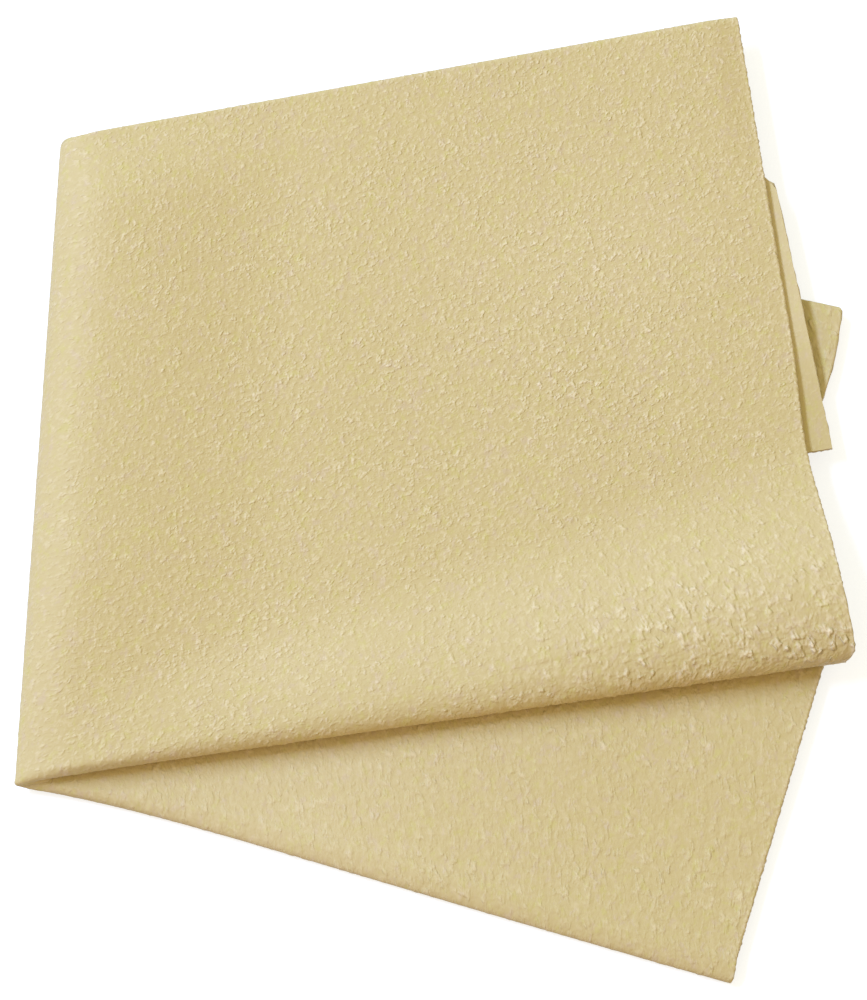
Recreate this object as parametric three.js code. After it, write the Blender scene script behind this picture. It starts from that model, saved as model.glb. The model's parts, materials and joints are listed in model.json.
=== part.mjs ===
// Microfibre polishing cloth, folded for storage.
// One square sheet: its bottom and top edges are turned in, which leaves a long band, and the band is then folded
// in half at the left like a book, a little out of square, so that its two halves fan apart towards the free ends.
// Millimetres. +Z is up, +Y runs along the book fold and +X from the book fold to the free ends. The origin is on
// the table, under the middle of the cloth.

import * as THREE from 'three';
import { mergeVertices } from 'three/addons/utils/BufferGeometryUtils.js';

// The sheet and how it is stacked
const sheetThickness = 1.0;
const layerGap = 0.6;
const creaseGap = 0.3;

// The book fold: its length, and how far the middle of the outer layer bulges past the flat panels
const bookFoldLength = 176;
const bookFoldReach = 9;

// The upper half: its two folded edges, measured from the book fold, and their angles off square
const upperBottomLength = 215.5;
const upperBottomAngle = 10.8;
const upperTopLength = 184;
const upperTopAngle = 13.4;

// The lower half
const lowerBottomLength = 188.5;
const lowerBottomAngle = -13.4;
const lowerTopLength = 212;
const lowerTopAngle = -10.4;

// The flaps turned in at the bottom and at the top of the sheet
const bottomFlapLength = 99;
const topFlapLength = 123;

// How far each flap's cut end leans outwards from the cut end of the face that it is folded from, in degrees
const upperBottomFlapLean = -1;
const upperTopFlapLean = 2.7;
const lowerBottomFlapLean = 6.9;
const lowerTopFlapLean = -4.5;

// How far the upper face stands up off its flaps at the free end, over the bottom roll and over the top roll
const bottomRollRise = 3.2;
const topRollRise = 0.8;

// How much wider than half its height a rolled edge is
const rollRoundness = 1.2;

// Facets along a half, round the book fold, and across each strip of the sheet
const stepsAlongHalf = 8;
const stepsRoundBookFold = 4;
const stepsAcross = { bottom_flap: 2, bottom_fold: 5, face: 5, top_fold: 4, top_flap: 2 };

const clothColor = 0xd6c697;
const clothRoughness = 0.95;

// Heights of the middle of each layer above or below the level where the two halves meet
const layerPitch = sheetThickness + layerGap;
const innerHeight = layerPitch / 2;
const middleHeight = innerHeight + layerPitch;
const outerHeight = middleHeight + layerPitch;
const meetingLevel = outerHeight + sheetThickness / 2;
const outlineReach = bookFoldReach + sheetThickness / 2;

const upperHalf = {
  name: 'upper',
  side: 1,
  bottom: { length: upperBottomLength, angle: THREE.MathUtils.degToRad(upperBottomAngle) },
  top: { length: upperTopLength, angle: THREE.MathUtils.degToRad(upperTopAngle) },
  bottomFlapLean: THREE.MathUtils.degToRad(upperBottomFlapLean),
  topFlapLean: THREE.MathUtils.degToRad(upperTopFlapLean),
  bottomRise: bottomRollRise,
  topRise: topRollRise,
};

const lowerHalf = {
  name: 'lower',
  side: -1,
  bottom: { length: lowerBottomLength, angle: THREE.MathUtils.degToRad(lowerBottomAngle) },
  top: { length: lowerTopLength, angle: THREE.MathUtils.degToRad(lowerTopAngle) },
  bottomFlapLean: THREE.MathUtils.degToRad(lowerBottomFlapLean),
  topFlapLean: THREE.MathUtils.degToRad(lowerTopFlapLean),
  bottomRise: 0,
  topRise: 0,
};

// A folded edge of a half in plan, at a share of the way from the book fold (0) to the free end (1).
// Both halves' edges start from the same corner, on the outline of the book fold.
function foldedEdge(edge, cornerY, along) {
  const direction = new THREE.Vector2(Math.cos(edge.angle), Math.sin(edge.angle));
  const corner = new THREE.Vector2(-outlineReach, cornerY);
  const start = corner.clone().addScaledVector(direction, outlineReach / direction.x);
  const end = corner.clone().addScaledVector(direction, edge.length);
  return { point: start.lerp(end, along), direction };
}

// The frame of one cross-section of a half: its bottom and top edges, and the way across between them
function crossSection(half, along) {
  const bottom = foldedEdge(half.bottom, 0, along);
  const top = foldedEdge(half.top, bookFoldLength, along);
  const across = top.point.clone().sub(bottom.point);
  const width = across.length();
  across.normalize();
  const opening = THREE.MathUtils.smoothstep(along, 0, 1);
  const bottomFace = outerHeight + half.bottomRise * opening;
  const topFace = outerHeight + half.topRise * opening;
  const bottomRoll = { centre: (bottomFace + innerHeight) / 2, rise: (bottomFace - innerHeight) / 2 };
  const topRoll = { centre: (topFace + middleHeight) / 2, rise: (topFace - middleHeight) / 2 };
  bottomRoll.reach = bottomRoll.rise * rollRoundness;
  topRoll.reach = topRoll.rise * rollRoundness;
  return { bottom, top, across, width, bottomFace, topFace, bottomRoll, topRoll };
}

// Each strip of the sheet gives, at a share of its own width, how far across the band it lies and its height.
// The strips run on from one another: bottom flap, bottom fold, face, top fold, top flap.
const strips = {
  bottom_flap(s, share) {
    const q = THREE.MathUtils.lerp(bottomFlapLength, s.bottomRoll.reach, share);
    return { q, height: innerHeight };
  },
  bottom_fold(s, share) {
    const turn = Math.PI * share;
    const q = s.bottomRoll.reach * (1 - Math.sin(turn));
    return { q, height: s.bottomRoll.centre - s.bottomRoll.rise * Math.cos(turn) };
  },
  face(s, share) {
    const q = THREE.MathUtils.lerp(s.bottomRoll.reach, s.width - s.topRoll.reach, share);
    const fromBottom = s.bottomFace - outerHeight;
    const fromTop = s.topFace - outerHeight;
    return { q, height: outerHeight + fromBottom * (1 - share) ** 2 + fromTop * share ** 2 };
  },
  top_fold(s, share) {
    const turn = Math.PI * share;
    const q = s.width - s.topRoll.reach * (1 - Math.sin(turn));
    return { q, height: s.topRoll.centre + s.topRoll.rise * Math.cos(turn) };
  },
  top_flap(s, share) {
    const q = THREE.MathUtils.lerp(s.width - s.topRoll.reach, s.width - topFlapLength, share);
    return { q, height: middleHeight };
  },
};

// How far a flap's cut end has swung out along its fold
function flapSwing(half, strip, s, q, along) {
  const swing = new THREE.Vector2();
  if (strip === 'bottom_flap') {
    swing.copy(s.bottom.direction).multiplyScalar((q - s.bottomRoll.reach) * Math.tan(half.bottomFlapLean));
  }
  if (strip === 'top_flap') {
    const fromFold = s.width - s.topRoll.reach - q;
    swing.copy(s.top.direction).multiplyScalar(fromFold * Math.tan(half.topFlapLean));
  }
  return swing.multiplyScalar(along);
}

// A point of the middle of the sheet on the flat part of a half
function panelPoint(half, strip, along, share) {
  const s = crossSection(half, along);
  const { q, height } = strips[strip](s, share);
  const plan = s.bottom.point.clone().addScaledVector(s.across, q);
  plan.add(flapSwing(half, strip, s, q, along));
  return new THREE.Vector3(plan.x, plan.y, meetingLevel + half.side * height);
}

// A point of the middle of the sheet in the book fold, from the flat part (0) to the meeting level (1).
// The innermost layer turns in a half circle, and the layers round it reach further out.
function bookFoldPoint(half, strip, round, share) {
  const flat = panelPoint(half, strip, 0, share);
  const turn = (round * Math.PI) / 2;
  const height = (flat.z - meetingLevel) * half.side;
  const spread = (height - innerHeight) / (outerHeight - innerHeight);
  const reach = height + spread * (bookFoldReach - outerHeight);
  const s = crossSection(half, 0);
  const { q } = strips[strip](s, share);
  const drawnDown = THREE.MathUtils.lerp(Math.tan(half.bottom.angle), Math.tan(half.top.angle), q / s.width);
  const y = flat.y - drawnDown * outlineReach * Math.sin(turn);
  return new THREE.Vector3(-reach * Math.sin(turn), y, meetingLevel + half.side * height * Math.cos(turn));
}

// The share of a run that half a crease gap takes, so that neighbouring solids lie a crease gap apart
function creaseShare(point, from, to) {
  let length = 0;
  const count = 16;
  for (let i = 0; i < count; i += 1) {
    const a = point(THREE.MathUtils.lerp(from, to, i / count));
    length += a.distanceTo(point(THREE.MathUtils.lerp(from, to, (i + 1) / count)));
  }
  return creaseGap / 2 / length;
}

// A closed solid of the sheet's thickness on a patch of its middle surface
function sheetSolid(surface, alongSteps, acrossSteps, alongRange, acrossRange, side) {
  const step = 1e-3;
  const positions = [];
  for (const face of [1, -1]) {
    for (let i = 0; i <= alongSteps; i += 1) {
      const u = THREE.MathUtils.lerp(alongRange[0], alongRange[1], i / alongSteps);
      for (let j = 0; j <= acrossSteps; j += 1) {
        const v = THREE.MathUtils.lerp(acrossRange[0], acrossRange[1], j / acrossSteps);
        const alongWay = surface(u + step, v).sub(surface(u - step, v));
        const acrossWay = surface(u, v + step).sub(surface(u, v - step));
        const normal = alongWay.cross(acrossWay).normalize();
        const point = surface(u, v).addScaledVector(normal, (face * side * sheetThickness) / 2);
        positions.push(point.x, point.y, point.z);
      }
    }
  }
  const row = acrossSteps + 1;
  const layer = row * (alongSteps + 1);
  const index = [];
  const quad = (a, b, c, d) => {
    const corners = side > 0 ? [a, b, c, a, c, d] : [a, c, b, a, d, c];
    index.push(...corners);
  };
  for (let i = 0; i < alongSteps; i += 1) {
    for (let j = 0; j < acrossSteps; j += 1) {
      const a = i * row + j;
      quad(a, a + row, a + row + 1, a + 1);
      quad(layer + a, layer + a + 1, layer + a + row + 1, layer + a + row);
    }
  }
  for (let i = 0; i < alongSteps; i += 1) {
    const low = i * row;
    const high = low + acrossSteps;
    quad(low, layer + low, layer + low + row, low + row);
    quad(high, high + row, layer + high + row, layer + high);
  }
  const last = alongSteps * row;
  for (let j = 0; j < acrossSteps; j += 1) {
    quad(j, j + 1, layer + j + 1, layer + j);
    quad(last + j, layer + last + j, layer + last + j + 1, last + j + 1);
  }
  const geometry = new THREE.BufferGeometry();
  geometry.setAttribute('position', new THREE.Float32BufferAttribute(positions, 3));
  geometry.setIndex(index);
  return mergeVertices(geometry);
}

function clothMesh(name, geometry) {
  const material = new THREE.MeshStandardMaterial({
    color: clothColor,
    roughness: clothRoughness,
    metalness: 0,
  });
  const mesh = new THREE.Mesh(geometry, material);
  mesh.name = name;
  return mesh;
}

// The range of shares across a strip, less the creases at the ends where it runs on into another strip
function acrossRange(half, strip) {
  const crease = creaseShare((share) => panelPoint(half, strip, 1, share), 0, 1);
  const creaseAtFold = creaseShare((share) => panelPoint(half, strip, 0, share), 0, 1);
  const widest = Math.max(crease, creaseAtFold);
  return [strip === 'bottom_flap' ? 0 : widest, strip === 'top_flap' ? 1 : 1 - widest];
}

// One half of the cloth: each strip has its flat panel and its quarter turn of the book fold
function makeHalf(half) {
  const group = new THREE.Group();
  for (const strip of Object.keys(strips)) {
    const across = acrossRange(half, strip);
    const panel = (along, share) => panelPoint(half, strip, along, share);
    const bend = (round, share) => bookFoldPoint(half, strip, -round, share);
    const panelCrease = creaseShare((along) => panel(along, 0.5), 0, 1);
    const bendCrease = creaseShare((round) => bend(round, 0.5), -1, 0);
    const panelSolid = sheetSolid(panel, stepsAlongHalf, stepsAcross[strip], [panelCrease, 1], across, half.side);
    const bendRange = [bendCrease - 1, -bendCrease];
    const bendSolid = sheetSolid(bend, stepsRoundBookFold, stepsAcross[strip], bendRange, across, half.side);
    group.add(clothMesh(`${half.name}_${strip}`, panelSolid));
    group.add(clothMesh(`${half.name}_${strip}_book_fold`, bendSolid));
  }
  return group;
}

// The upper half hangs on the hinge line, which is the outer edge of the book fold, halfway up.
// Turning the hinge about -Y opens the cloth.
const hinge = new THREE.Group();
hinge.position.set(-outlineReach, 0, meetingLevel);
const upper = makeHalf(upperHalf);
upper.position.copy(hinge.position).negate();
hinge.add(upper);

const cloth = new THREE.Group();
cloth.add(makeHalf(lowerHalf), hinge);

// The origin goes under the middle of the cloth
const bounds = new THREE.Box3().setFromObject(cloth, true);
const middle = bounds.getCenter(new THREE.Vector3());
cloth.position.set(-middle.x, -middle.y, -bounds.min.z);

export default cloth;
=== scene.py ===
import json
import math
from types import SimpleNamespace

import bpy
import numpy as np
from mathutils import Matrix, Vector


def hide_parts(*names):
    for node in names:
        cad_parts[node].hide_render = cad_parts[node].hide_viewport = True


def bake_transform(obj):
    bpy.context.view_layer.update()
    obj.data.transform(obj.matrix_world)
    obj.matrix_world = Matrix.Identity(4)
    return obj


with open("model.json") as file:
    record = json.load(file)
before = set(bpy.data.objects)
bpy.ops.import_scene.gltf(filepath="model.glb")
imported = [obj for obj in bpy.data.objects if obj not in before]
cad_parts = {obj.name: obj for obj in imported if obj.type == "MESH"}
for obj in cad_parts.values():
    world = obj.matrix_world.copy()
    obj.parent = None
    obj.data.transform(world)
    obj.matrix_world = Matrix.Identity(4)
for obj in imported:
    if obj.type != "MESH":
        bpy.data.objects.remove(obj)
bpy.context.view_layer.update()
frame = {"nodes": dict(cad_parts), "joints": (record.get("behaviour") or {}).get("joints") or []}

MM = 0.001

# The camera that took the photograph: it looks down on the cloth, almost square to the book fold
IMAGE_HEIGHT_PX = 1000
CAMERA_AZIMUTH = 2.36
CAMERA_ELEVATION = 72.0
CAMERA_DISTANCE = 1.2
CAMERA_FOCAL_PX = 4614
CAMERA_TARGET = Vector((-2.77, -5.99, 0.0)) * MM
SENSOR_HEIGHT_MM = 24.0

# The sheet and how it is stacked
SHEET_SIDE = 400 * MM
SHEET_THICKNESS = 1.0 * MM
LAYER_GAP = 0.6 * MM

# The book fold: its length, how far the middle of the outer layer bulges past the flat panels, and where
# its near end lies
BOOK_FOLD_LENGTH = 176 * MM
BOOK_FOLD_REACH = 9 * MM
BOOK_FOLD_NEAR_END = -87.535 * MM

# How much of the sheet's length the outer layer takes round each quarter of the book fold
FOLD_ARC = 11 * MM
HALF_RUN = SHEET_SIDE / 2 - FOLD_ARC

# The flaps turned in at the bottom and at the top of the sheet
BOTTOM_FLAP_LENGTH = 99 * MM
TOP_FLAP_LENGTH = 123 * MM

# The strip seen at the right is the cut end of the upper top flap: how far it rises towards the face, how
# far its near corner droops, how far it stays back where the face covers it, how far from the far fold it
# comes into view, how far it stands out there, and how much further for each millimetre beyond
STRIP_LIFT = 0.15 * MM
STRIP_DROOP = 1.2 * MM
STRIP_TUCK = 0.9 * MM
STRIP_SHOWS_FROM = 48.5 * MM
STRIP_STANDS_OUT = 2.05 * MM
STRIP_SLANT = 0.038

# The rest of the upper half's cut end isn't straight either: how far it stands out or in, at what share of
# the way from the bottom fold, over what share; and how far all of it stays back
UPPER_END_WAVES = ((1.1 * MM, 0.0, 0.09), (-1.8 * MM, 0.32, 0.12), (-0.6 * MM, 0.6, 0.2))
UPPER_END_BACK = 0.4 * MM

# The hollow in the lower half's cut end: its depth, its distance from the far fold and its half width
LOWER_END_HOLLOW = 3.8 * MM
LOWER_HOLLOW_PLACE = 39 * MM
LOWER_HOLLOW_WIDTH = 14 * MM

# From which share of a half's length the shape of its cut end begins to show
CUT_END_FROM = 0.55

# How far the lower half's far corner stands off the table
LOWER_CORNER_LIFT = 1.2 * MM

# How far the far corner of the upper half droops at its cut end
FAR_CORNER_DROOP = 0.8 * MM

# How much wider than half its height a rolled edge is
ROLL_ROUNDNESS = 1.2

# The upper half's bottom roll sags: at what share of its height its outermost line lies by the free end
ROLL_SAG = 0.40

# The rounding of the upper half's free corner, at the end of its bottom roll
ROLL_CORNER_RADIUS = 2.3 * MM

# How far from its outermost line a bottom roll takes to level out at the free end
UPPER_SHOULDER = 17.0 * MM
LOWER_SHOULDER = 6.0 * MM

# How far behind its roll the upper face takes to come down, beside the book fold and at the free end
CREST_FALL_BY_FOLD = 20 * MM
CREST_FALL_BY_END = 46 * MM

# The top of the book fold rises on past the start of the flat panel, to a soft crown that falls off slowly
CROWN_RUN = 6.5 * MM
CROWN_RISE = 4.0 * MM
CROWN_FALL = 48 * MM

# The far corner of the book fold is rounded off in plan, and stands out a little along the fold
FAR_CORNER_RADIUS = 3.0 * MM
FAR_CORNER_FILL = 1.2 * MM

# The near corner of the book fold, where a fold is folded again, is pressed flatter than the rest: how far
# its bend fills out, how far the press reaches, how much a distance along the fold counts in that, and the
# share of its height that each half loses
NEAR_CORNER_FILL = 1.4 * MM
PINCH_REACH = 14 * MM
PINCH_ALONG_FOLD = 0.8
PINCH_UPPER = 0.38
PINCH_LOWER = 0.3

# The far free corner of the lower half: its rounding, and how far its two layers keep together
LOWER_CORNER_RADIUS = 1.6 * MM
LOWER_CORNER_RUN = 36 * MM

# How far the lower face's cut end stays back behind the flap over it, and how much further under the front
# panel's near corner; and how far from a bottom fold such a tuck reaches
LAYER_STAGGER = 0.5 * MM
LOWER_FACE_TUCK = 1.8 * MM
TUCK_RUN = 30 * MM

# The lower half's near edge draws in, most at this distance from its corner, and the upper half's far edge
# draws in all along
BOW_PEAK = 45 * MM
BOW_DEPTH = 2.6 * MM
FAR_EDGE_DRAW_IN = 0.8 * MM

# The gentle ups and downs of the panels: the waves of the upper face and of the front panel, and the front
# panel's sag
FACE_WAVE = 0.35 * MM
FRONT_WAVE = 0.25 * MM
FRONT_SAG = 0.5 * MM

# The two halves, seen from above: the lengths and angles of their folded edges from the book fold's
# corners, how far their flaps' cut ends lean, and how far their rolls rise towards the free end
UPPER = SimpleNamespace(
    side=1,
    bottom_length=215.5 * MM,
    bottom_angle=math.radians(10.8),
    top_length=184 * MM,
    top_angle=math.radians(13.4),
    bottom_flap_lean=math.radians(-1.0),
    bottom_rise=5.2 * MM,
    free_end_rise=2.6 * MM,
    top_rise=0.8 * MM,
)
LOWER = SimpleNamespace(
    side=-1,
    bottom_length=188.5 * MM,
    bottom_angle=math.radians(-13.4),
    top_length=212 * MM,
    top_angle=math.radians(-10.4),
    bottom_flap_lean=math.radians(6.9),
    top_flap_lean=math.radians(-4.5),
    bottom_rise=0.0,
    free_end_rise=0.0,
    top_rise=0.0,
)

# Heights of the middle of each layer above or below the level where the two halves meet
LAYER_PITCH = SHEET_THICKNESS + LAYER_GAP
INNER_HEIGHT = LAYER_PITCH / 2
MIDDLE_HEIGHT = INNER_HEIGHT + LAYER_PITCH
OUTER_HEIGHT = MIDDLE_HEIGHT + LAYER_PITCH
MEETING_LEVEL = OUTER_HEIGHT + SHEET_THICKNESS / 2
OUTLINE_REACH = BOOK_FOLD_REACH + SHEET_THICKNESS / 2

# The strips of the sheet, across the band from one cut edge to the other
STRIPS = ("bottom_flap", "bottom_fold", "face", "top_fold", "top_flap")

# Grid lines of the napped and plain sides: along each half or round the book fold, and across each strip
NAP_LINES = {
    "upper": (470, (40, 34, 330, 10, 60)),
    "book_fold": (44, (40, 26, 200, 10, 50)),
    "lower": (360, (190, 24, 80, 8, 60)),
}
PLAIN_LINES = {
    "upper": (70, (30, 10, 50, 8, 50)),
    "book_fold": (20, (24, 10, 40, 8, 36)),
    "lower": (60, (30, 10, 40, 8, 40)),
}


def smooth(edge_low, edge_high, value):
    """An even step from 0 to 1 between two values."""
    x = np.clip((value - edge_low) / (edge_high - edge_low), 0.0, 1.0)
    return x * x * (3.0 - 2.0 * x)


def bell(value, middle, width):
    return np.exp(-(((value - middle) / width) ** 2))


def cell_numbers(column, row, seed):
    """A repeatable number from 0 to 1 for each cell of a grid."""
    mixed = (column * 374761393 + row * 668265263 + seed * 974634213) & 0xFFFFFFFF
    mixed = ((mixed ^ (mixed >> 13)) * 1274126177) & 0xFFFFFFFF
    return ((mixed ^ (mixed >> 16)) & 0xFFFFFF) / 0xFFFFFF


def gradient_noise(x, y, seed):
    """Smooth noise from about -1 to 1 with features one unit across."""
    column = np.floor(x).astype(np.int64)
    row = np.floor(y).astype(np.int64)
    dx = x - column
    dy = y - row
    fade_x = dx * dx * dx * (dx * (dx * 6.0 - 15.0) + 10.0)
    fade_y = dy * dy * dy * (dy * (dy * 6.0 - 15.0) + 10.0)

    def corner(step_x, step_y):
        turn = cell_numbers(column + step_x, row + step_y, seed) * 2.0 * math.pi
        return np.cos(turn) * (dx - step_x) + np.sin(turn) * (dy - step_y)

    low = corner(0, 0) + fade_x * (corner(1, 0) - corner(0, 0))
    high = corner(0, 1) + fade_x * (corner(1, 1) - corner(0, 1))
    return 1.5 * (low + fade_y * (high - low))


def folded_edge(length, angle, corner_y, along):
    """Plan points of a folded edge, at shares of the way from the book fold to the free end."""
    way = np.array([math.cos(angle), math.sin(angle)])
    corner = np.array([-OUTLINE_REACH, corner_y])
    start = corner + way * OUTLINE_REACH / way[0]
    end = corner + way * length
    return start + (end - start) * along[:, None], way


def near_edge_bow(half, x):
    """How far the near edge of the lower half draws in beyond its corner."""
    if half is UPPER:
        return np.zeros_like(x)
    share = (x + OUTLINE_REACH) / BOW_PEAK
    return BOW_DEPTH * share * np.exp(1.0 - share)


def cross_sections(half, along):
    """A half's cross-sections: its two folded edges, the way across, and the heights of its rolls."""
    bottom, bottom_way = folded_edge(half.bottom_length, half.bottom_angle, 0.0, along)
    top, top_way = folded_edge(half.top_length, half.top_angle, BOOK_FOLD_LENGTH, along)
    bow = near_edge_bow(half, bottom[:, 0])
    bottom[:, 1] += bow
    if half is UPPER:
        top[:, 1] -= FAR_EDGE_DRAW_IN
    across = top - bottom
    width = np.linalg.norm(across, axis=1)
    opening = smooth(0.0, 1.0, along)
    bottom_face = OUTER_HEIGHT + half.bottom_rise * (0.25 * smooth(0.0, 0.2, along) + 0.75 * along)
    bottom_face = bottom_face + half.free_end_rise * smooth(0.5, 1.0, along)
    top_face = OUTER_HEIGHT + half.top_rise * opening
    bottom_rise = (bottom_face[:, None] - INNER_HEIGHT) / 2
    at_fold = (OUTER_HEIGHT - INNER_HEIGHT) / 2 * ROLL_ROUNDNESS
    if half is UPPER:
        sag = 0.5 + (ROLL_SAG - 0.5) * smooth(0.0, 0.5, along)[:, None]
        shoulder = 0.5 * along + 0.5 * along**2
        face_reach = at_fold + (UPPER_SHOULDER - at_fold) * shoulder[:, None]
        flap_reach = np.full_like(face_reach, at_fold)
    else:
        sag = 0.5
        face_reach = bottom_rise * ROLL_ROUNDNESS
        flap_reach = at_fold + (LOWER_SHOULDER - at_fold) * smooth(0.0, 0.3, along)[:, None]
    return SimpleNamespace(
        bottom=bottom,
        bow=bow[:, None],
        bottom_way=bottom_way,
        top_way=top_way,
        across=across / width[:, None],
        width=width[:, None],
        bottom_face=bottom_face[:, None],
        top_face=top_face[:, None],
        bottom_rise=bottom_rise,
        outermost=2 * bottom_rise * sag,
        top_rise=(top_face[:, None] - MIDDLE_HEIGHT) / 2,
        flap_reach=flap_reach,
        face_reach=face_reach,
        crest_fall=(CREST_FALL_BY_FOLD + (CREST_FALL_BY_END - CREST_FALL_BY_FOLD) * along)[:, None],
    )


def strip_profile(strip, s, share):
    """How far across the band the lines of a strip lie, and their heights."""
    top_reach = s.top_rise * ROLL_ROUNDNESS
    if strip == "bottom_flap":
        q = BOTTOM_FLAP_LENGTH + (s.flap_reach - BOTTOM_FLAP_LENGTH) * share
        return q, np.full_like(q, INNER_HEIGHT)
    if strip == "bottom_fold":
        turn = math.pi * share
        reach = np.where(share < 0.5, s.flap_reach, s.face_reach)
        rise = np.where(share < 0.5, s.outermost, 2 * s.bottom_rise - s.outermost)
        return reach * (1 - np.sin(turn)), INNER_HEIGHT + s.outermost - rise * np.cos(turn)
    if strip == "face":
        q = s.face_reach + (s.width - top_reach - s.face_reach) * share
        fall = smooth(0.0, 1.0, (q - s.face_reach) / s.crest_fall)
        crest = (s.bottom_face - OUTER_HEIGHT) * (1 - fall)
        return q, OUTER_HEIGHT + crest + (s.top_face - OUTER_HEIGHT) * share**2
    if strip == "top_fold":
        turn = math.pi * share
        return s.width - top_reach * (1 - np.sin(turn)), MIDDLE_HEIGHT + s.top_rise * (1 + np.cos(turn))
    q = s.width - top_reach + (top_reach - TOP_FLAP_LENGTH) * share
    return q, np.full_like(q, MIDDLE_HEIGHT)


def corner_rounding(distance, radius):
    """How far an edge draws back at a rounded corner, at a distance from the edge that it meets there."""
    near = np.clip(1.0 - distance / radius, 0.0, 1.0)
    return radius * (1.0 - np.sqrt(1.0 - near**2))


def free_end_shift(half, strip, s, q, share):
    """How far the cut end stands out from the straight line between its corners."""
    from_bottom = q / s.width
    from_top = s.width - q
    if half is UPPER:
        shift = sum(depth * bell(from_bottom, place, width) for depth, place, width in UPPER_END_WAVES)
        shift = shift - UPPER_END_BACK
        if strip == "bottom_fold":
            rounded = corner_rounding(q, ROLL_CORNER_RADIUS)
            shift = shift - np.where(share < 0.5, ROLL_CORNER_RADIUS, rounded)
        if strip == "bottom_flap":
            shift = shift - ROLL_CORNER_RADIUS * (1.0 - smooth(0.0, TUCK_RUN, q))
        if strip == "top_flap":
            in_view = smooth(STRIP_SHOWS_FROM - 2 * MM, STRIP_SHOWS_FROM, from_top)
            stands_out = STRIP_STANDS_OUT + STRIP_SLANT * (from_top - STRIP_SHOWS_FROM)
            shift = -STRIP_TUCK + (stands_out + STRIP_TUCK) * in_view
        return shift
    if strip in ("face", "top_fold", "top_flap"):
        hollow = LOWER_END_HOLLOW * bell(from_top, LOWER_HOLLOW_PLACE, LOWER_HOLLOW_WIDTH)
        rounding = corner_rounding(from_top, LOWER_CORNER_RADIUS)
        tucked = np.zeros_like(q)
        if strip == "face":
            tucked = LAYER_STAGGER * smooth(0.0, 6 * MM, from_top)
            tucked = tucked + LOWER_FACE_TUCK * (1.0 - smooth(0.0, TUCK_RUN, q))
        return -hollow - rounding - tucked
    if strip == "bottom_fold":
        return -(LAYER_STAGGER + LOWER_FACE_TUCK) * smooth(0.35, 0.9, share)
    return np.zeros_like(q)


def flap_swing(half, strip, s, q):
    """How far a flap's cut end has swung out along its fold."""
    if strip == "bottom_flap":
        return (q - s.flap_reach) * math.tan(half.bottom_flap_lean), s.bottom_way
    if strip == "top_flap" and half is LOWER:
        past_corner = np.clip(s.width - q - LOWER_CORNER_RUN, 0.0, None)
        return past_corner * math.tan(half.top_flap_lean), s.top_way
    return np.zeros_like(q), s.top_way


def half_points(half, along, lines):
    """The middle surface of the flat part of a half, on a grid of sections and lines."""
    s = cross_sections(half, along)
    points = np.empty((len(along), len(lines.share), 3))
    for index, strip in enumerate(STRIPS):
        at = lines.strip == index
        share = lines.share[at][None, :]
        q, height = strip_profile(strip, s, share)
        swing, swing_way = flap_swing(half, strip, s, q)
        plan = s.bottom[:, None, :] + q[:, :, None] * s.across[:, None, :]
        plan = plan + (swing * along[:, None])[:, :, None] * swing_way
        end = smooth(CUT_END_FROM, 1.0, along)[:, None] * free_end_shift(half, strip, s, q, share)
        plan = plan + end[:, :, None] * (s.bottom_way + s.top_way) / 2
        points[:, at, :2] = plan
        rise = lift(half, strip, plan, q, s, height, along[:, None])
        points[:, at, 2] = MEETING_LEVEL + half.side * (height + rise)
    return points


def fold_crown(height, q, width):
    """A layer's upper bend at the book fold: its run past the panel's start, its reach and its height.

    It is less full at the near corner, and dies away at the far one.
    """
    spread = np.clip((height - INNER_HEIGHT) / (OUTER_HEIGHT - INNER_HEIGHT), 0.0, 1.2)
    fullness = (0.3 + 0.7 * smooth(0.0, 60 * MM, q)) * smooth(-4 * MM, 24 * MM, width - q)
    run = CROWN_RUN * spread**2 * (0.4 + 0.6 * fullness)
    bulge = (BOOK_FOLD_REACH - OUTER_HEIGHT) * (1.0 - np.clip(1.0 - spread, 0.0, 1.0) ** 4)
    corner = NEAR_CORNER_FILL * np.sin(math.pi * np.clip(spread, 0.0, 1.0)) * (1.0 - smooth(0.0, 5 * MM, q))
    return run, height + bulge + corner + run, height + CROWN_RISE * spread**2 * fullness


def crown_lift(height, x, q, width):
    """How far a layer of the upper half stands above its level, beyond the book fold."""
    run, reach, top = fold_crown(height, q, width)
    bend = top * np.sqrt(1.0 - (np.clip(run - x, 0.0, None) / reach) ** 2)
    return bend - height - (top - height) * smooth(run, run + CROWN_FALL, x)


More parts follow.
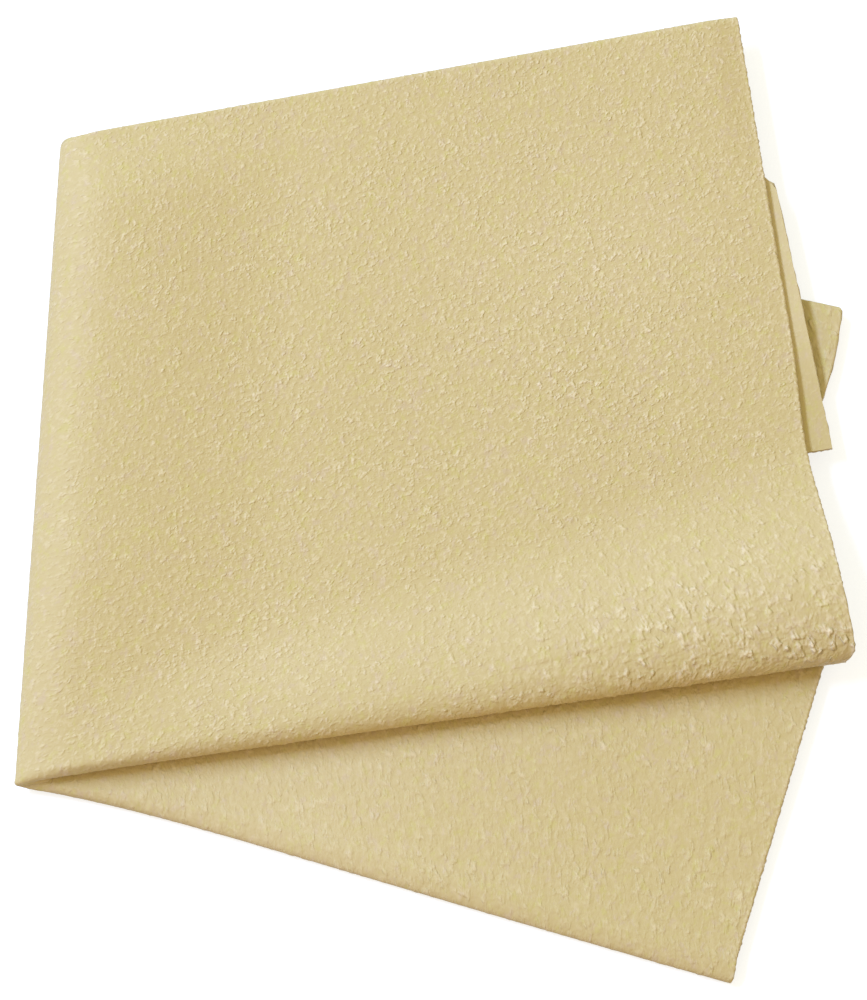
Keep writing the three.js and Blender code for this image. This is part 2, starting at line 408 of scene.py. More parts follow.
def lift(half, strip, plan, q, s, height, along):
    """The gentle ups and downs of a panel, over and above its folds."""
    x = plan[:, :, 0]
    y = plan[:, :, 1]
    from_top = s.width - q
    if half is UPPER:
        crown = crown_lift(np.clip(height, INNER_HEIGHT, OUTER_HEIGHT), x, q, s.width)
        far_corner = smooth(0.95, 1.0, along) * (1.0 - smooth(20 * MM, 60 * MM, from_top))
        crown = crown - FAR_CORNER_DROOP * far_corner
        if strip == "top_flap":
            raised = STRIP_LIFT * smooth(0.75, 0.95, along) * smooth(35 * MM, 60 * MM, from_top)
            drooped = STRIP_DROOP * smooth(0.92, 1.0, along) * smooth(85 * MM, 120 * MM, from_top)
            return crown + raised - drooped
        if strip != "face":
            return crown
        inside = smooth(0.0, 12 * MM, q) * smooth(0.0, 8 * MM, from_top)
        waves = FACE_WAVE * gradient_noise(x / (45 * MM), y / (60 * MM), 11) * smooth(0.1, 0.3, along)
        return crown + inside * waves
    if strip in ("face", "top_fold", "top_flap"):
        return -LOWER_CORNER_LIFT * smooth(0.8, 1.0, along) * (1.0 - smooth(30 * MM, 70 * MM, from_top))
    if strip == "bottom_flap":
        sag = FRONT_SAG * bell(q, 30 * MM, 18 * MM) * smooth(0.05, 0.4, along)
        waves = FRONT_WAVE * (1.0 + gradient_noise(x / (40 * MM), y / (40 * MM), 12))
        return sag + waves * smooth(0.05, 0.3, along) * smooth(0.0, 10 * MM, q)
    return 0.0


def book_fold_points(round_share, lines):
    """The book fold's middle surface, from the upper half (0) to the lower (1), and places on the sheet.

    An inner layer's bend is tight, so the rest of the length that the outer layer takes lies in its middle.
    """
    points = np.empty((len(round_share), len(lines.share), 3))
    flat_u = np.empty((len(round_share), len(lines.share)))
    for half in (UPPER, LOWER):
        rows = (round_share <= 0.5) if half is UPPER else (round_share > 0.5)
        part = (round_share[rows] if half is UPPER else 1.0 - round_share[rows])[:, None] * 2.0
        s = cross_sections(half, np.zeros(1))
        flat = half_points(half, np.zeros(1), lines)
        height = np.concatenate([strip_profile(strip, s, lines.share[lines.strip == index][None, :])[1]
                                 for index, strip in enumerate(STRIPS)], axis=1)
        q = flat[:, :, 1] - s.bottom[:, None, 1]
        run, reach, top = fold_crown(height, q, s.width)
        if half is LOWER:
            run, reach, top = 0.0, reach - run, height
        first_turn = np.arcsin(run / reach)
        turn = first_turn + (math.pi / 2 - first_turn) * part
        slope = math.tan(half.bottom_angle)
        slope = slope + (math.tan(half.top_angle) - slope) * q / s.width
        rounding = corner_rounding(s.width - q, FAR_CORNER_RADIUS)
        block = np.empty((part.shape[0], flat.shape[1], 3))
        out = reach * np.sin(turn) - run
        share_out = out / (reach - run)
        block[:, :, 0] = -out + np.minimum(rounding, 0.6 * (reach - run)) * share_out
        drawn_in = s.bow * (1.0 - q / s.width)
        shift = (slope * OUTLINE_REACH + drawn_in) * share_out
        if half is UPPER:
            shift = slope * (out + (OUTLINE_REACH - reach + run) * share_out**4)
        filled = FAR_CORNER_FILL * share_out**2 * smooth(0.8, 1.0, q / s.width)
        block[:, :, 1] = flat[:, :, 1] - shift + filled
        block[:, :, 2] = MEETING_LEVEL + half.side * top * np.cos(turn)
        points[rows] = block
        spanned = np.clip(BOOK_FOLD_REACH - (reach - run), 0.0, FOLD_ARC)
        flat_u[rows] = half.side * (FOLD_ARC + (spanned - FOLD_ARC) * part)
    return points, flat_u


def grid_lines(counts):
    """The lines across the band: which strip each lies on, and its share of that strip's width."""
    strip = [np.zeros(1, dtype=int)]
    share = [np.zeros(1)]
    for index, count in enumerate(counts):
        strip.append(np.full(count, index))
        share.append(np.arange(1, count + 1) / count)
    return SimpleNamespace(strip=np.concatenate(strip), share=np.concatenate(share))


def arc_places(points, lines):
    """How far each point lies across the sheet, measured along its surface from the middle of the face."""
    steps = np.linalg.norm(np.diff(points, axis=1), axis=2)
    places = np.concatenate([np.zeros((len(points), 1)), np.cumsum(steps, axis=1)], axis=1)
    face = np.where(lines.strip == STRIPS.index("face"))[0]
    middle = face[np.argmin(np.abs(lines.share[face] - 0.5))]
    return places - places[:, middle : middle + 1]


def sheet_block(block, along_count, across_counts):
    """One third of the sheet: its points, the normals of its napped side and places on the flat sheet."""
    lines = grid_lines(across_counts)
    if block == "book_fold":
        u = (np.arange(along_count) + 1.0) / (along_count + 1.0)
        points, flat_u = book_fold_points(u, lines)
    else:
        half = UPPER if block == "upper" else LOWER
        u = np.linspace(1.0, 0.0, along_count) if half is UPPER else np.linspace(0.0, 1.0, along_count)
        points = half_points(half, u, lines)
        flat_u = (half.side * (FOLD_ARC + HALF_RUN * u))[:, None]
    along_way = np.gradient(points, axis=0)
    across_way = np.gradient(points, axis=1)
    normals = -np.cross(along_way, across_way)
    normals /= np.linalg.norm(normals, axis=2, keepdims=True)
    flat_v = arc_places(points, lines)
    flat_u = np.broadcast_to(flat_u, flat_v.shape)
    return SimpleNamespace(
        points=points,
        normals=normals,
        flat_u=flat_u,
        flat_v=flat_v,
        strip=lines.strip,
        line_place=lines.strip + lines.share,
    )


def even_seam(before, after):
    """Gives the last row of one block and the first row of the next the same normals."""
    def at_lines(normals, lines, places):
        return np.column_stack([np.interp(places, lines, normals[:, axis]) for axis in range(3)])

    last = before.normals[-1] + at_lines(after.normals[0], after.line_place, before.line_place)
    before.normals[-1] = last / np.linalg.norm(last, axis=1, keepdims=True)
    after.normals[0] = at_lines(before.normals[-1], before.line_place, after.line_place)


# How deep the nap is: its larger nubs in the mesh, and its finer tufts in the material
NAP_DEPTH = 0.13 * MM
TUFT_HEIGHT = 0.165 * MM

# The plain side, inside the folds: how uneven it is, how strong its nap is, and how much painted highlight
# makes it paler
PLAIN_DEPTH = 0.05 * MM
PLAIN_NAP = 0.35
PLAIN_PAINTED_LIGHT = 1.6

# The raw edge: how far it bulges and frays, and how much paler its fibres are
CUT_EDGE_BULGE = 0.22 * MM
CUT_EDGE_FRAY = 0.3 * MM
CUT_EDGE_PALE = 3.0

# The nubs of the nap, in millimetres along and across the band: their size where they stand upright, the
# size of their patches, their size where they lie in slanted ridges, and the cosine and sine of that slant
NUB_SIZE = (1.1, 2.0)
PATCH_SIZE = (11.0, 16.0)
RIDGE_SIZE = (1.4, 3.4)
RIDGE_SLANT = (0.91, 0.42)


def nap_height(flat_u, flat_v):
    """The larger nubs of the nap, from 0 to about 1: short and in patches, or in longer slanted ridges."""
    u = flat_u / MM
    v = flat_v / MM
    bend = 0.5 * gradient_noise(u / 5.0, v / 6.0, 1)
    sway = 0.5 * gradient_noise(u / 6.0, v / 5.0, 2)
    nubs = gradient_noise((u + bend) / NUB_SIZE[0], (v + sway) / NUB_SIZE[1], 3)
    slant_cos, slant_sin = RIDGE_SLANT
    ridge_u = (slant_cos * u + slant_sin * v + bend) / RIDGE_SIZE[0]
    ridge_v = (slant_cos * v - slant_sin * u + sway) / RIDGE_SIZE[1]
    ridges = gradient_noise(ridge_u, ridge_v, 4)
    patches = 0.55 + 0.45 * smooth(-0.45, 0.5, gradient_noise(u / PATCH_SIZE[0], v / PATCH_SIZE[1], 5))
    in_ridges = ridge_share(flat_u, flat_v)
    upright = patches * smooth(0.0, 0.8, nubs)
    leaning = 1.2 * smooth(-0.1, 0.8, ridges)
    return upright * (1.0 - in_ridges) + leaning * in_ridges


def ridge_share(flat_u, flat_v):
    """Where the nap lies in longer slanted ridges: on the lower half, and by the upper roll's free end."""
    by_roll = bell(flat_v, -84 * MM, 34 * MM) * smooth(50 * MM, 170 * MM, flat_u)
    return np.where(flat_u < 0.0, 0.8 * smooth(14 * MM, 40 * MM, -flat_u), by_roll)


def paleness_and_painted_light(flat_u, flat_v):
    """Where the nap is paler: painted highlight on the book fold and crest, paler face and front panel,
    frayed cut ends.
    """
    # Painted highlight: the book fold and the crest before the upper roll are painted paler where the lamp
    # lights their slopes
    painted_light_on_fold = 0.1 * (1.0 - smooth(4 * MM, 18 * MM, np.abs(flat_u)))
    painted_light_on_crest = 0.7 * bell(flat_v, -70 * MM, 17 * MM) * smooth(20 * MM, 60 * MM, flat_u)
    on_face = 0.6 * bell(flat_u, 150 * MM, 40 * MM) * bell(flat_v, 25 * MM, 25 * MM)
    on_front = 1.0 * bell(flat_u, -75 * MM, 50 * MM)
    fibres = gradient_noise(flat_u / (0.7 * MM), flat_v / (0.9 * MM), 8)
    at_end = smooth(SHEET_SIDE / 2 - 1.4 * MM, SHEET_SIDE / 2 - 0.3 * MM, np.abs(flat_u))
    on_cut = CUT_EDGE_PALE * at_end * smooth(-0.2, 0.4, fibres)
    return painted_light_on_fold + painted_light_on_crest + on_face + on_front + on_cut


def nap_strength(flat_u, flat_v):
    """How strong the nap is: smoother on the book fold, strongest by the free end and on the upper roll."""
    from_fold = np.abs(flat_u)
    pressed = 0.9 + 0.1 * smooth(14 * MM, 34 * MM, from_fold)
    open_end = 0.3 * bell(flat_u, 150 * MM, 45 * MM) * bell(flat_v, -15 * MM, 80 * MM)
    on_roll = 1.1 * bell(flat_v, -98 * MM, 8 * MM) * smooth(8 * MM, 30 * MM, flat_u)
    return pressed * np.where(flat_u < 0.0, 0.95, 1.0 + open_end + on_roll)


class MeshParts:
    """Vertices with their places on the flat sheet, and faces, gathered patch by patch."""

    def __init__(self):
        self.points = []
        self.flat = []
        self.nap = []
        self.ridges = []
        self.pale_and_painted_light = []
        self.side = []
        self.faces = []
        self.sharp = np.zeros(0, dtype=int)
        self.count = 0

    def add(self, points, flat_u, flat_v, nap, ridges, pale_and_painted_light, side):
        start = self.count
        number = points.size // 3
        self.points.append(points.reshape(-1, 3))
        self.flat.append(np.stack([flat_u.ravel(), flat_v.ravel()], axis=1))
        self.nap.append(np.broadcast_to(nap, flat_u.shape).ravel())
        self.ridges.append(np.broadcast_to(ridges, flat_u.shape).ravel())
        self.pale_and_painted_light.append(np.broadcast_to(pale_and_painted_light, flat_u.shape).ravel())
        self.side.append(np.full(number, side))
        self.count += number
        return np.arange(start, self.count).reshape(points.shape[:-1])

    def grid(self, ids, flip):
        a, b = ids[:-1, :-1], ids[:-1, 1:]
        c, d = ids[1:, 1:], ids[1:, :-1]
        corners = (a, d, c, b) if flip else (a, b, c, d)
        self.faces.append(np.stack(corners, axis=-1).reshape(-1, 4))

    def zip_rows(self, first, first_place, second, second_place, flip):
        """Triangles between two rows of points that have different spacings."""
        triangles = []
        i = 0
        j = 0
        while i < len(first) - 1 or j < len(second) - 1:
            step_first = j == len(second) - 1 or (
                i < len(first) - 1 and first_place[i + 1] <= second_place[j + 1]
            )
            if step_first:
                triangles.append((first[i], first[i + 1], second[j], second[j]))
                i += 1
            else:
                triangles.append((first[i], second[j + 1], second[j], second[j]))
                j += 1
        rows = np.array(triangles)
        self.faces.append(rows[:, [0, 2, 1, 1]] if flip else rows)


def border(blocks, ids):
    """The ids and places round the four cut edges of one side of the sheet, as a closed loop."""
    first, last = ids["upper"], ids["lower"]
    far = np.concatenate([ids[name][:, -1] for name in ids])
    near = np.concatenate([ids[name][:, 0] for name in ids])
    u_far = np.concatenate([blocks[name].flat_u[:, -1] for name in ids])
    u_near = np.concatenate([blocks[name].flat_u[:, 0] for name in ids])
    sides = (
        (first[0, :], blocks["upper"].line_place / len(STRIPS)),
        (far, 0.5 - u_far / SHEET_SIDE),
        (last[-1, ::-1], 1.0 - blocks["lower"].line_place[::-1] / len(STRIPS)),
        (near[::-1], 0.5 + u_near[::-1] / SHEET_SIDE),
    )
    loop = np.concatenate([side[:-1] for side, _ in sides])
    place = np.concatenate([number + where[:-1] for number, (_, where) in enumerate(sides)])
    return loop, place


def outward(blocks):
    """The way out of the sheet at each point of its border loop, in the order of border()."""
    def unit(way):
        return way / np.linalg.norm(way, axis=1, keepdims=True)

    first, last = blocks["upper"].points, blocks["lower"].points
    far = np.concatenate([b.points[:, -1] - b.points[:, -2] for b in blocks.values()])
    near = np.concatenate([b.points[:, 0] - b.points[:, 1] for b in blocks.values()])
    sides = (unit(first[0] - first[1]), unit(far), unit(last[-1] - last[-2])[::-1], unit(near)[::-1])
    return np.concatenate([side[:-1] for side in sides])


def build_cloth():
    """The whole sheet, folded, as one closed mesh."""
    mesh = MeshParts()
    nap = {name: sheet_block(name, *counts) for name, counts in NAP_LINES.items()}
    plain = {name: sheet_block(name, *counts) for name, counts in PLAIN_LINES.items()}
    for blocks in (nap, plain):
        even_seam(blocks["upper"], blocks["book_fold"])
        even_seam(blocks["book_fold"], blocks["lower"])
    nap_ids = {}
    for name, block in nap.items():
        strength = nap_strength(block.flat_u, block.flat_v)
        height = SHEET_THICKNESS / 2 + NAP_DEPTH * strength * (nap_height(block.flat_u, block.flat_v) - 0.4)
        points = block.points + height[:, :, None] * block.normals
        ridges = ridge_share(block.flat_u, block.flat_v)
        pale_and_painted_light = paleness_and_painted_light(block.flat_u, block.flat_v)
        nap_ids[name] = mesh.add(points, block.flat_u, block.flat_v, strength, ridges, pale_and_painted_light, 1.0)
        mesh.grid(nap_ids[name], flip=False)
    plain_ids = {}
    for name, block in plain.items():
        wave = gradient_noise(block.flat_u / (7 * MM), block.flat_v / (9 * MM), 6)
        height = SHEET_THICKNESS / 2 + PLAIN_DEPTH * wave
        points = block.points - height[:, :, None] * block.normals
        # Painted highlight over the plain side, fading out towards the lower end of the cut strip at the
        # right, which is left darker as painted shade
        pale_and_painted_light = PLAIN_PAINTED_LIGHT * (1.0 - smooth(165 * MM, 198 * MM, block.flat_v))
        plain_ids[name] = mesh.add(points, block.flat_u, block.flat_v, PLAIN_NAP, 0.0, pale_and_painted_light, -1.0)
        mesh.grid(plain_ids[name], flip=True)
    for ids, blocks, flip in ((nap_ids, nap, False), (plain_ids, plain, True)):
        for before, after in (("upper", "book_fold"), ("book_fold", "lower")):
            mesh.zip_rows(
                ids[before][-1], blocks[before].line_place, ids[after][0], blocks[after].line_place, flip
            )
        mesh.sharp = np.append(mesh.sharp, inner_crease(ids["book_fold"], blocks["book_fold"].strip))
    add_cut_edge(mesh, nap, nap_ids, plain, plain_ids)
    return mesh


def inner_crease(ids, strip):
    """The middle rows of the flaps' bends, creased so that they lie flat when the book fold opens."""
    middle = len(ids) // 2
    flaps = np.isin(strip, (STRIPS.index("bottom_flap"), STRIPS.index("top_flap")))
    return ids[middle - 1 : middle + 1, flaps].ravel()


def add_cut_edge(mesh, nap, nap_ids, plain, plain_ids):
    """The raw edge between the two sides, a little round and frayed."""
    nap_loop, nap_place = border(nap, nap_ids)
    plain_loop, plain_place = border(plain, plain_ids)
    mid_points = np.concatenate([nap[name].points.reshape(-1, 3) for name in nap])
    flat = np.concatenate(mesh.flat)[nap_loop]
    way_out = outward(nap)
    fray = gradient_noise(flat[:, 0] / (0.9 * MM), flat[:, 1] / (0.9 * MM), 7)
    fray = CUT_EDGE_BULGE + CUT_EDGE_FRAY * fray
    rim = mid_points[nap_loop] + fray[:, None] * way_out
    rim_ids = mesh.add(rim, flat[:, 0], flat[:, 1], PLAIN_NAP, 0.0, CUT_EDGE_PALE, 0.0)
    after = np.roll(np.arange(len(rim_ids)), -1)
    mesh.faces.append(np.stack([nap_loop[after], nap_loop, rim_ids, rim_ids[after]], axis=1))
    mesh.sharp = np.append(mesh.sharp, plain_loop)
    closed_rim = np.append(rim_ids, rim_ids[0])
    closed_plain = np.append(plain_loop, plain_loop[0])
    mesh.zip_rows(
        closed_rim, np.append(nap_place, 4.0), closed_plain, np.append(plain_place, 4.0), True
    )


def pinch_corner(points):
    """Presses the two halves together at the near corner of the book fold."""
    away = np.hypot(points[:, 0] + OUTLINE_REACH, PINCH_ALONG_FOLD * points[:, 1]) / PINCH_REACH
    height = points[:, 2] - MEETING_LEVEL
    press = np.where(height > 0.0, PINCH_UPPER, PINCH_LOWER) * np.exp(-(away**2))
    points[:, 2] = MEETING_LEVEL + height * (1.0 - press)


def cloth_object(mesh):
    """Makes the mesh object, with each point's place on the flat sheet kept for the material."""
    points = np.concatenate(mesh.points)
    pinch_corner(points)
    hinge = Vector(frame["joints"][0]["pos_m"])
    points = points + np.array([hinge.x + OUTLINE_REACH, BOOK_FOLD_NEAR_END, 0.0])
    faces = np.concatenate(mesh.faces)
    sizes = np.where(faces[:, 2] == faces[:, 3], 3, 4)
    corners = faces.ravel()[(np.arange(4) < sizes[:, None]).ravel()]
    data = bpy.data.meshes.new("cloth")
    data.vertices.add(len(points))
    data.vertices.foreach_set("co", points.ravel())
    data.loops.add(len(corners))
    data.loops.foreach_set("vertex_index", corners.astype(np.int32))
    data.polygons.add(len(sizes))
    data.polygons.foreach_set("loop_start", np.concatenate([[0], np.cumsum(sizes)[:-1]]).astype(np.int32))
    data.polygons.foreach_set("use_smooth", np.ones(len(sizes), dtype=bool))
    data.update(calc_edges=True)
    ends = np.empty(len(data.edges) * 2, dtype=np.int32)
    data.edges.foreach_get("vertices", ends)
    sharp = np.isin(ends.reshape(-1, 2), mesh.sharp).all(axis=1)
    data.attributes.new("sharp_edge", "BOOLEAN", "EDGE").data.foreach_set("value", sharp)
    flat = np.concatenate(mesh.flat)
    side = np.concatenate(mesh.side)
    place = data.attributes.new("flat_place", "FLOAT_VECTOR", "POINT")
    place.data.foreach_set("vector", np.column_stack([flat, side * 0.5]).ravel())
    for name, values in (("nap", mesh.nap), ("ridges", mesh.ridges), ("pale_and_painted_light", mesh.pale_and_painted_light)):
        data.attributes.new(name, "FLOAT", "POINT").data.foreach_set("value", np.concatenate(values))
    obj = bpy.data.objects.new("cloth", data)
    bpy.context.scene.collection.objects.link(obj)
    return obj


# The light: a long, cool, window-like lamp at the far left, and a warm sky, whitest overhead and behind
KEY_WAY = (-0.592, 0.377, 0.712)
KEY_LENGTHWAYS = (-0.16, 0.987, 0.0)
KEY_COLOR = (0.73, 0.92, 1.40)
KEY_DISTANCE = 3.1
KEY_LENGTH = 2.2
KEY_HEIGHT = 0.5
KEY_WATTS = 67.0
SKY_WAY = (0.0, 0.6, 0.8)
SKY_IN_FRONT = (0.63, 0.425, 0.25, 1.0)
SKY_BEHIND = (0.69, 0.665, 0.38, 1.0)

# The floor, and how much it is lifted towards the photograph's white where the camera sees it
FLOOR_SIZE = 8.0
FLOOR_COLOR = (0.5, 0.55, 0.68, 1.0)
FLOOR_LIFT = 0.72


def linear(r, g, b):
    """A colour given as it looks on screen, from 0 to 255, as the shader takes it."""
    def channel(value):
        c = value / 255.0
        return c / 12.92 if c <= 0.04045 else ((c + 0.055) / 1.055) ** 2.4

    return (channel(r), channel(g), channel(b), 1.0)


class Nodes:
    """Short ways to add and join the nodes of a material or of the sky."""

    def __init__(self, material):
        self.nodes = material.node_tree.nodes
        self.links = material.node_tree.links

    def put(self, value, socket):
        """Joins an output to a socket, or sets the socket to a plain value."""
        if isinstance(value, bpy.types.NodeSocket):
            self.links.new(value, socket)
        else:
            socket.default_value = value

    def attribute(self, name, output):
        node = self.nodes.new("ShaderNodeAttribute")
        node.attribute_name = name
        return node.outputs[output]

    def noise(self, place, scale, detail, roughness=0.5, distortion=0.0):
        node = self.nodes.new("ShaderNodeTexNoise")
        self.put(place, node.inputs["Vector"])
        node.inputs["Scale"].default_value = scale
        node.inputs["Detail"].default_value = detail
        node.inputs["Roughness"].default_value = roughness
        node.inputs["Distortion"].default_value = distortion
        return node.outputs["Fac"]

    def stretch(self, place, scale, turn):
        """Turns a place on the sheet, then scales it along and across."""
        turned = self.nodes.new("ShaderNodeVectorRotate")
        turned.rotation_type = "Z_AXIS"
        self.put(place, turned.inputs["Vector"])
        turned.inputs["Angle"].default_value = turn
        node = self.nodes.new("ShaderNodeMapping")
        self.put(turned.outputs["Vector"], node.inputs["Vector"])
        node.inputs["Scale"].default_value = scale
        return node.outputs["Vector"]

    def shift(self, place, by):
        node = self.nodes.new("ShaderNodeVectorMath")
        node.operation = "ADD"
        self.put(place, node.inputs[0])
        node.inputs[1].default_value = by
        return node.outputs["Vector"]

    def math(self, operation, first, second):
        node = self.nodes.new("ShaderNodeMath")
        node.operation = operation
        self.put(first, node.inputs[0])
        self.put(second, node.inputs[1])
        return node.outputs[0]

    def spread(self, value, low, high, to_low=0.0, to_high=1.0):
        node = self.nodes.new("ShaderNodeMapRange")
        node.interpolation_type = "SMOOTHSTEP"
        for socket, number in zip(("Value", "From Min", "From Max", "To Min", "To Max"),
                                  (value, low, high, to_low, to_high)):
            self.put(number, node.inputs[socket])
        return node.outputs["Result"]

    def mix_value(self, share, first, second):
        """A plain value between two others."""
        node = self.nodes.new("ShaderNodeMix")
        self.put(share, node.inputs["Factor"])
        self.put(first, node.inputs["A"])
        self.put(second, node.inputs["B"])
        return node.outputs["Result"]

    def mix(self, share, first, second):
        """A colour between two others."""
        node = self.nodes.new("ShaderNodeMix")
        node.data_type = "RGBA"
        self.put(share, node.inputs["Factor"])
        self.put(first, node.inputs["A"])
        self.put(second, node.inputs["B"])
        return node.outputs["Result"]


# The colours of the nap and of its small flecks, and the whiter colour of the tuft ends, partly their own
# and partly a painted highlight, set off towards the lamp's side
NAP_COLOR = linear(212, 196, 145)
LIME_FLECK = linear(210, 200, 128)
PINK_FLECK = linear(213, 194, 164)
TIP_AND_HIGHLIGHT_COLOR = linear(252, 240, 212)
TIP_SHIFT_TO_LIT_SIDE = 0.25 * MM

# Noise cells per metre along and across the sheet, and their turn: tufts that stand upright or lean, the
# finer grain among them, and the flecks
UPRIGHT_TUFTS = ((820.0, 800.0, 1.0), -0.1)
LEANING_TUFTS = ((640.0, 340.0, 1.0), -0.4)
UPRIGHT_GRAIN = ((950.0, 1150.0, 1.0), 0.2)
LEANING_GRAIN = ((800.0, 600.0, 1.0), -0.2)
FLECKS = ((480.0, 330.0, 1.0), 0.0)

# Noise cells per metre of the patches where the tufts crowd
CROWDING = 75.0

# How much whiter the tuft and grain ends are, partly their own colour and partly painted highlight, and how
# much whiter the paler patches are, with their painted highlight on the book fold and crest
TUFT_TIPS_AND_HIGHLIGHT = 0.28
GRAIN_TIPS_AND_HIGHLIGHT = 0.2
PALE_AND_PAINTED_LIGHT_SHARE = 0.13


def microfibre_material():
    """Matt chamois yellow with a short suede-like nap, whose tufts are paler than the ground and carry a
    painted highlight on their lit sides.
    """
    material = bpy.data.materials.new("microfibre")
    material.use_nodes = True
    n = Nodes(material)
    shader = n.nodes["Principled BSDF"]
    shader.inputs["Roughness"].default_value = 0.6
    shader.inputs["Specular IOR Level"].default_value = 0.4
    shader.inputs["Sheen Weight"].default_value = 0.1
    shader.inputs["Sheen Roughness"].default_value = 0.5
    shader.inputs["Sheen Tint"].default_value = linear(250, 240, 215)
    place = n.attribute("flat_place", "Vector")
    strength = n.attribute("nap", "Fac")
    slanted = n.attribute("ridges", "Fac")
    pale_and_painted_light = n.attribute("pale_and_painted_light", "Fac")

    def tufts(at):
        """The raised tufts: short ones, and longer slanted ones where the nap lies in ridges."""
        upright = n.noise(n.stretch(at, *UPRIGHT_TUFTS), 1.0, 1.5, 0.55, 0.2)
        leaning = n.noise(n.stretch(at, *LEANING_TUFTS), 1.0, 1.5, 0.55, 0.2)
        return n.mix_value(slanted, upright, leaning)

    def grain(at):
        """The finer ground between the tufts."""
        upright = n.noise(n.stretch(at, *UPRIGHT_GRAIN), 1.0, 1.0, 0.5, 0.2)
        leaning = n.noise(n.stretch(at, *LEANING_GRAIN), 1.0, 1.0, 0.5, 0.2)
        return n.mix_value(slanted, upright, leaning)

    crowding = n.spread(n.noise(place, CROWDING, 2.0), 0.35, 0.65, 0.65, 1.1)
    raised = n.math("MULTIPLY", n.spread(tufts(place), 0.46, 0.78), crowding)
    coarseness = n.spread(slanted, 0.0, 1.0, 1.0, 2.0)
    depth = n.math("MULTIPLY", strength, coarseness)
    relief = n.math("MULTIPLY", n.math("ADD", raised, grain(place)), depth)

    flecks = n.noise(n.stretch(place, *FLECKS), 1.0, 2.0, 0.6)
    color = n.mix(n.spread(flecks, 0.30, 0.45, 0.6, 0.0), NAP_COLOR, LIME_FLECK)
    color = n.mix(n.spread(flecks, 0.56, 0.70, 0.0, 0.6), color, PINK_FLECK)
    # Painted highlight: the whiter tuft ends are moved towards the lamp, so the lit flanks of the tufts are
    # painted paler than their shaded flanks
    lit_side = n.shift(place, (TIP_SHIFT_TO_LIT_SIDE, 0.0, 0.0))
    tips_and_highlights = n.math("MULTIPLY", n.spread(tufts(lit_side), 0.54, 0.74, 0.0, TUFT_TIPS_AND_HIGHLIGHT), crowding)
    tips_and_highlights = n.math("MULTIPLY", tips_and_highlights, n.spread(slanted, 0.0, 1.0, 1.0, 1.4))
    tips_and_highlights = n.math("ADD", tips_and_highlights, n.spread(grain(lit_side), 0.5, 0.75, 0.0, GRAIN_TIPS_AND_HIGHLIGHT))
    # The paler patches, among them the painted highlight on the book fold and the crest, whiten the colour
    # further
    tips_and_highlights = n.math("ADD", n.math("MULTIPLY", tips_and_highlights, strength), n.math("MULTIPLY", pale_and_painted_light, PALE_AND_PAINTED_LIGHT_SHARE))
    color = n.mix(tips_and_highlights, color, TIP_AND_HIGHLIGHT_COLOR)
    n.put(color, shader.inputs["Base Color"])

    bump = n.nodes.new("ShaderNodeBump")
    bump.inputs["Strength"].default_value = 1.0
    bump.inputs["Distance"].default_value = TUFT_HEIGHT
    n.put(relief, bump.inputs["Height"])
    n.put(bump.outputs["Normal"], shader.inputs["Normal"])
    return material


def add_camera():
    data = bpy.data.cameras.new("camera")
    data.sensor_fit = "VERTICAL"
    data.sensor_height = SENSOR_HEIGHT_MM
    data.lens = SENSOR_HEIGHT_MM * CAMERA_FOCAL_PX / IMAGE_HEIGHT_PX
    camera = bpy.data.objects.new("camera", data)
    azimuth = math.radians(CAMERA_AZIMUTH)
    elevation = math.radians(CAMERA_ELEVATION)
    back = Vector(
        (
            math.sin(azimuth) * math.cos(elevation),
            -math.cos(azimuth) * math.cos(elevation),
            math.sin(elevation),
        )
    )
    camera.location = CAMERA_TARGET + back * CAMERA_DISTANCE
    camera.rotation_euler = back.to_track_quat("Z", "Y").to_euler()
    bpy.context.scene.collection.objects.link(camera)
    bpy.context.scene.camera = camera


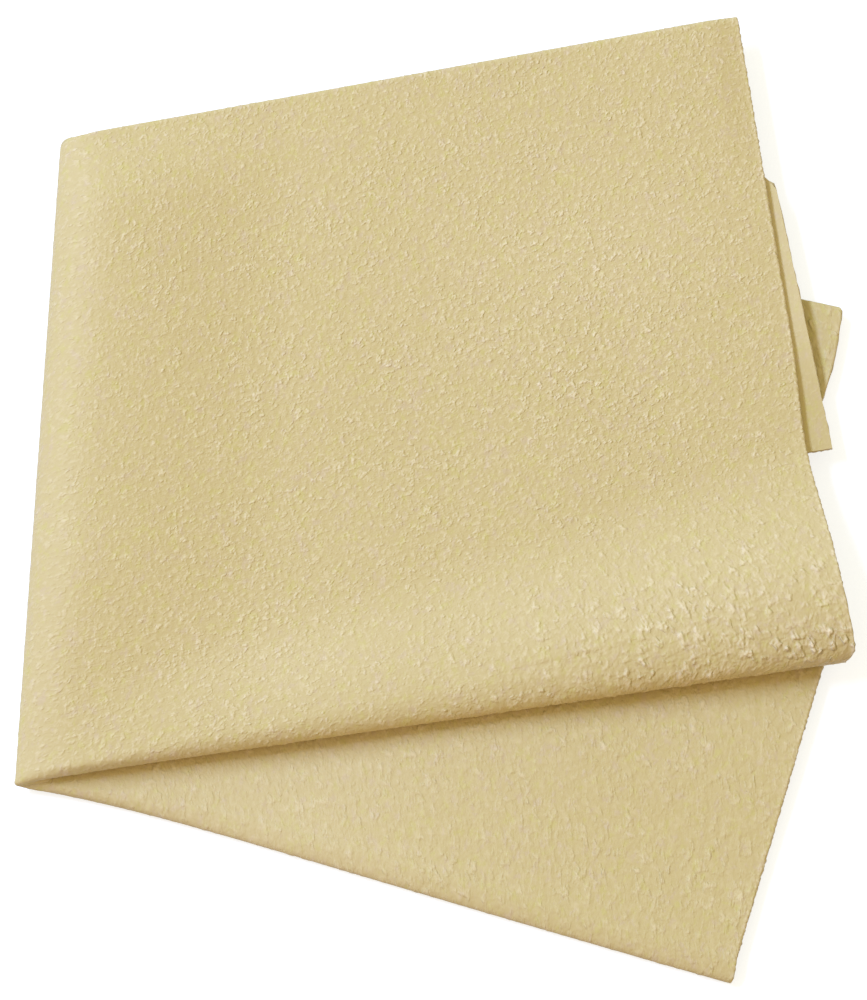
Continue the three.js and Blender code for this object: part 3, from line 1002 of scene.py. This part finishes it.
def add_key():
    """A long window-like lamp, level and in line with the raw edges of the cloth."""
    data = bpy.data.lights.new("key", "AREA")
    data.shape = "RECTANGLE"
    data.size = KEY_LENGTH
    data.size_y = KEY_HEIGHT
    data.energy = KEY_WATTS
    data.color = KEY_COLOR
    lamp = bpy.data.objects.new("key", data)
    way = Vector(KEY_WAY).normalized()
    lengthways = Vector(KEY_LENGTHWAYS).normalized()
    facing = (way - lengthways * way.dot(lengthways)).normalized()
    lamp.location = way * KEY_DISTANCE
    lamp.rotation_euler = Matrix((lengthways, facing.cross(lengthways), facing)).transposed().to_euler()
    bpy.context.scene.collection.objects.link(lamp)


def add_sky():
    """Soft light from all round, whitest from overhead and behind the cloth and warmest from in front."""
    world = bpy.data.worlds.new("sky")
    world.use_nodes = True
    n = Nodes(world)
    way = n.nodes.new("ShaderNodeTexCoord").outputs["Generated"]
    towards = n.nodes.new("ShaderNodeVectorMath")
    towards.operation = "DOT_PRODUCT"
    n.put(way, towards.inputs[0])
    n.put(SKY_WAY, towards.inputs[1])
    from_behind = n.math("MAXIMUM", towards.outputs["Value"], 0.0)
    n.put(n.mix(from_behind, SKY_IN_FRONT, SKY_BEHIND), n.nodes["Background"].inputs["Color"])
    bpy.context.scene.world = world


def add_studio():
    add_sky()
    add_key()

    bpy.ops.mesh.primitive_plane_add(size=FLOOR_SIZE)
    floor = bpy.context.object
    floor.name = "floor"
    floor.data.materials.append(floor_material())


def floor_material():
    """Matt, lifted to the white of the photograph's background where the camera or a gloss sees it."""
    material = bpy.data.materials.new("floor")
    material.use_nodes = True
    n = Nodes(material)
    shader = n.nodes["Principled BSDF"]
    shader.inputs["Base Color"].default_value = FLOOR_COLOR
    shader.inputs["Roughness"].default_value = 1.0
    shader.inputs["Specular IOR Level"].default_value = 0.0
    shader.inputs["Emission Color"].default_value = (1.0, 1.0, 1.0, 1.0)
    rays = n.nodes.new("ShaderNodeLightPath")
    seen = n.math("MAXIMUM", rays.outputs["Is Camera Ray"], rays.outputs["Is Glossy Ray"])
    n.put(n.math("MULTIPLY", seen, FLOOR_LIFT), shader.inputs["Emission Strength"])
    return material


bpy.context.scene.view_settings.view_transform = "Standard"
add_camera()
add_studio()

cloth = cloth_object(build_cloth())
cloth.data.materials.append(microfibre_material())
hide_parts(*frame["nodes"])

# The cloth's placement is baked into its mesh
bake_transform(cloth)
